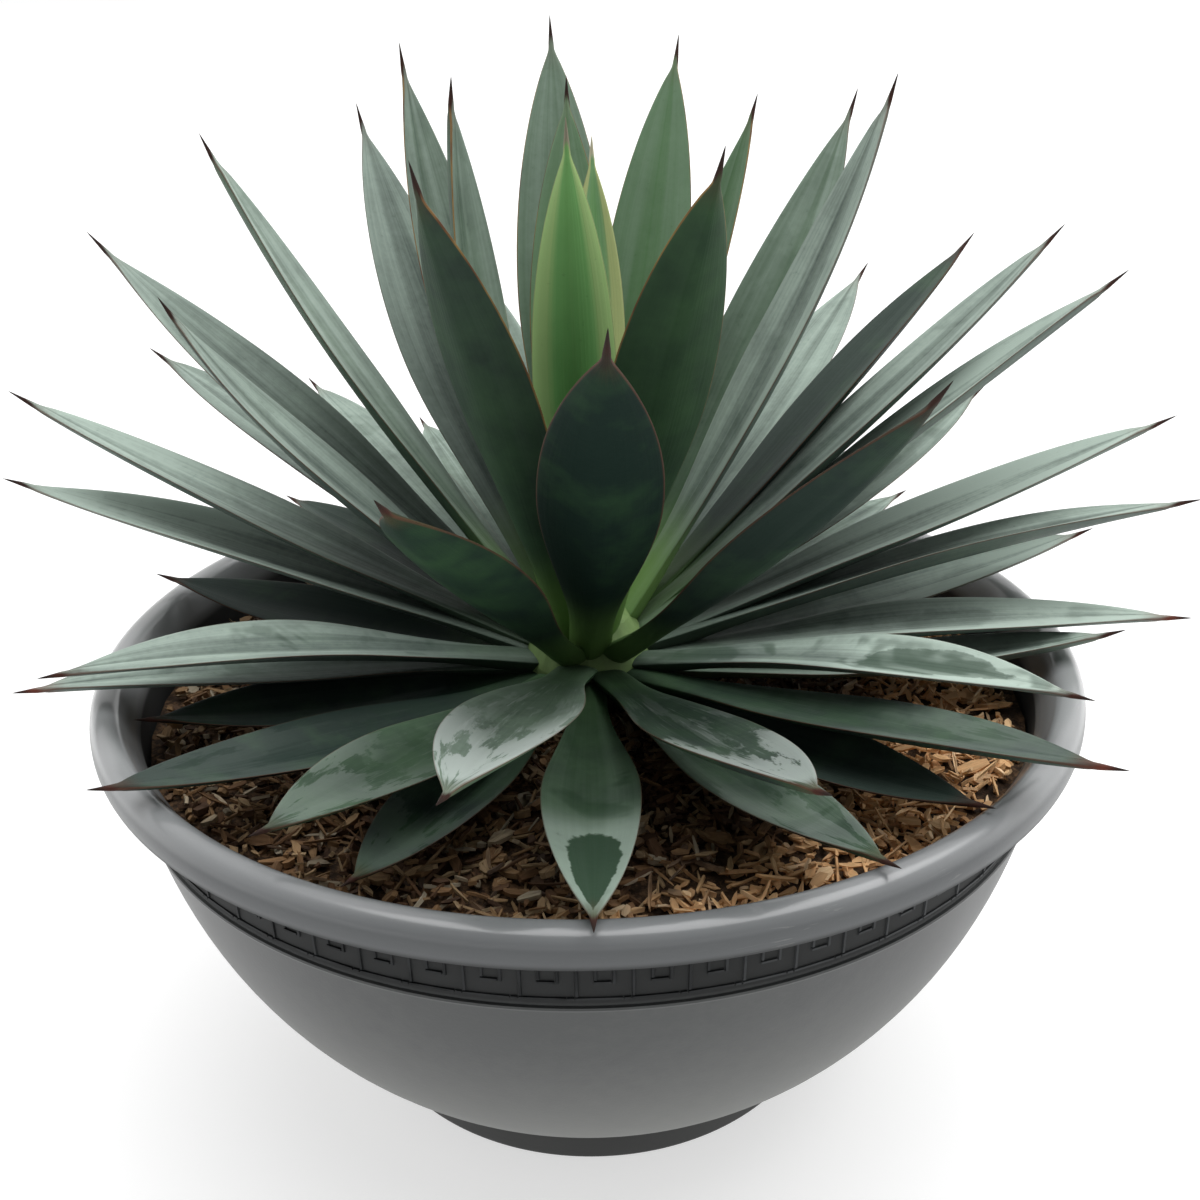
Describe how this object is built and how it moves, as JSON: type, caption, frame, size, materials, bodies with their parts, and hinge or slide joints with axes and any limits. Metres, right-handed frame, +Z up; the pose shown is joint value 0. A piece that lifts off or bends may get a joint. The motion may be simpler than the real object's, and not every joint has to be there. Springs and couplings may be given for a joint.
{
  "type": "potted agave plant",
  "caption": "Blue-green rosette agave with stiff spine-tipped leaves, growing in a round, low plastic bowl with a rolled rim and a key-pattern band; stands on a flat base.",
  "frame": {"origin": "middle of the flat underside of the bowl's foot, on the surface it stands on", "axes": "+Z up along the bowl's axis; -Y towards the viewer of the reference picture; +X to the right"},
  "size_m": [0.4538, 0.396, 0.3814],
  "materials": {
    "bowl_plastic": "satin moulded charcoal plastic, slightly scuffed on the rim",
    "bark_mulch": "rough dry bark chips and slivers, tan to dark brown",
    "stem_tissue": "dull green-brown stump",
    "leaf_skin": "smooth tough skin with a pale waxy bloom, thin red-brown margins and dark spines"
  },
  "bodies": {
    "root": {"pot": "bowl_plastic", "soil": "bark_mulch", "stem": "stem_tissue", "leaf_01": "leaf_skin", "leaf_02": "leaf_skin", "leaf_03": "leaf_skin", "leaf_04": "leaf_skin", "leaf_05": "leaf_skin", "leaf_06": "leaf_skin", "leaf_07": "leaf_skin", "leaf_08": "leaf_skin", "leaf_09": "leaf_skin", "leaf_10": "leaf_skin", "leaf_11": "leaf_skin", "leaf_12": "leaf_skin", "leaf_13": "leaf_skin", "leaf_14": "leaf_skin", "leaf_15": "leaf_skin", "leaf_16": "leaf_skin", "leaf_17": "leaf_skin", "leaf_18": "leaf_skin", "leaf_19": "leaf_skin", "leaf_20": "leaf_skin", "leaf_21": "leaf_skin", "leaf_22": "leaf_skin", "leaf_23": "leaf_skin", "leaf_24": "leaf_skin", "leaf_25": "leaf_skin", "leaf_26": "leaf_skin", "leaf_27": "leaf_skin", "leaf_28": "leaf_skin", "leaf_29": "leaf_skin", "leaf_30": "leaf_skin", "leaf_31": "leaf_skin", "leaf_32": "leaf_skin", "leaf_33": "leaf_skin", "leaf_34": "leaf_skin", "leaf_35": "leaf_skin", "leaf_36": "leaf_skin", "leaf_37": "leaf_skin", "leaf_38": "leaf_skin", "leaf_39": "leaf_skin", "leaf_40": "leaf_skin", "leaf_41": "leaf_skin", "leaf_42": "leaf_skin", "leaf_43": "leaf_skin", "leaf_44": "leaf_skin", "leaf_45": "leaf_skin", "leaf_46": "leaf_skin", "leaf_47": "leaf_skin", "leaf_48": "leaf_skin", "leaf_49": "leaf_skin", "leaf_50": "leaf_skin", "leaf_51": "leaf_skin", "leaf_52": "leaf_skin", "leaf_53": "leaf_skin", "leaf_54": "leaf_skin"}
  },
  "joints": []
}
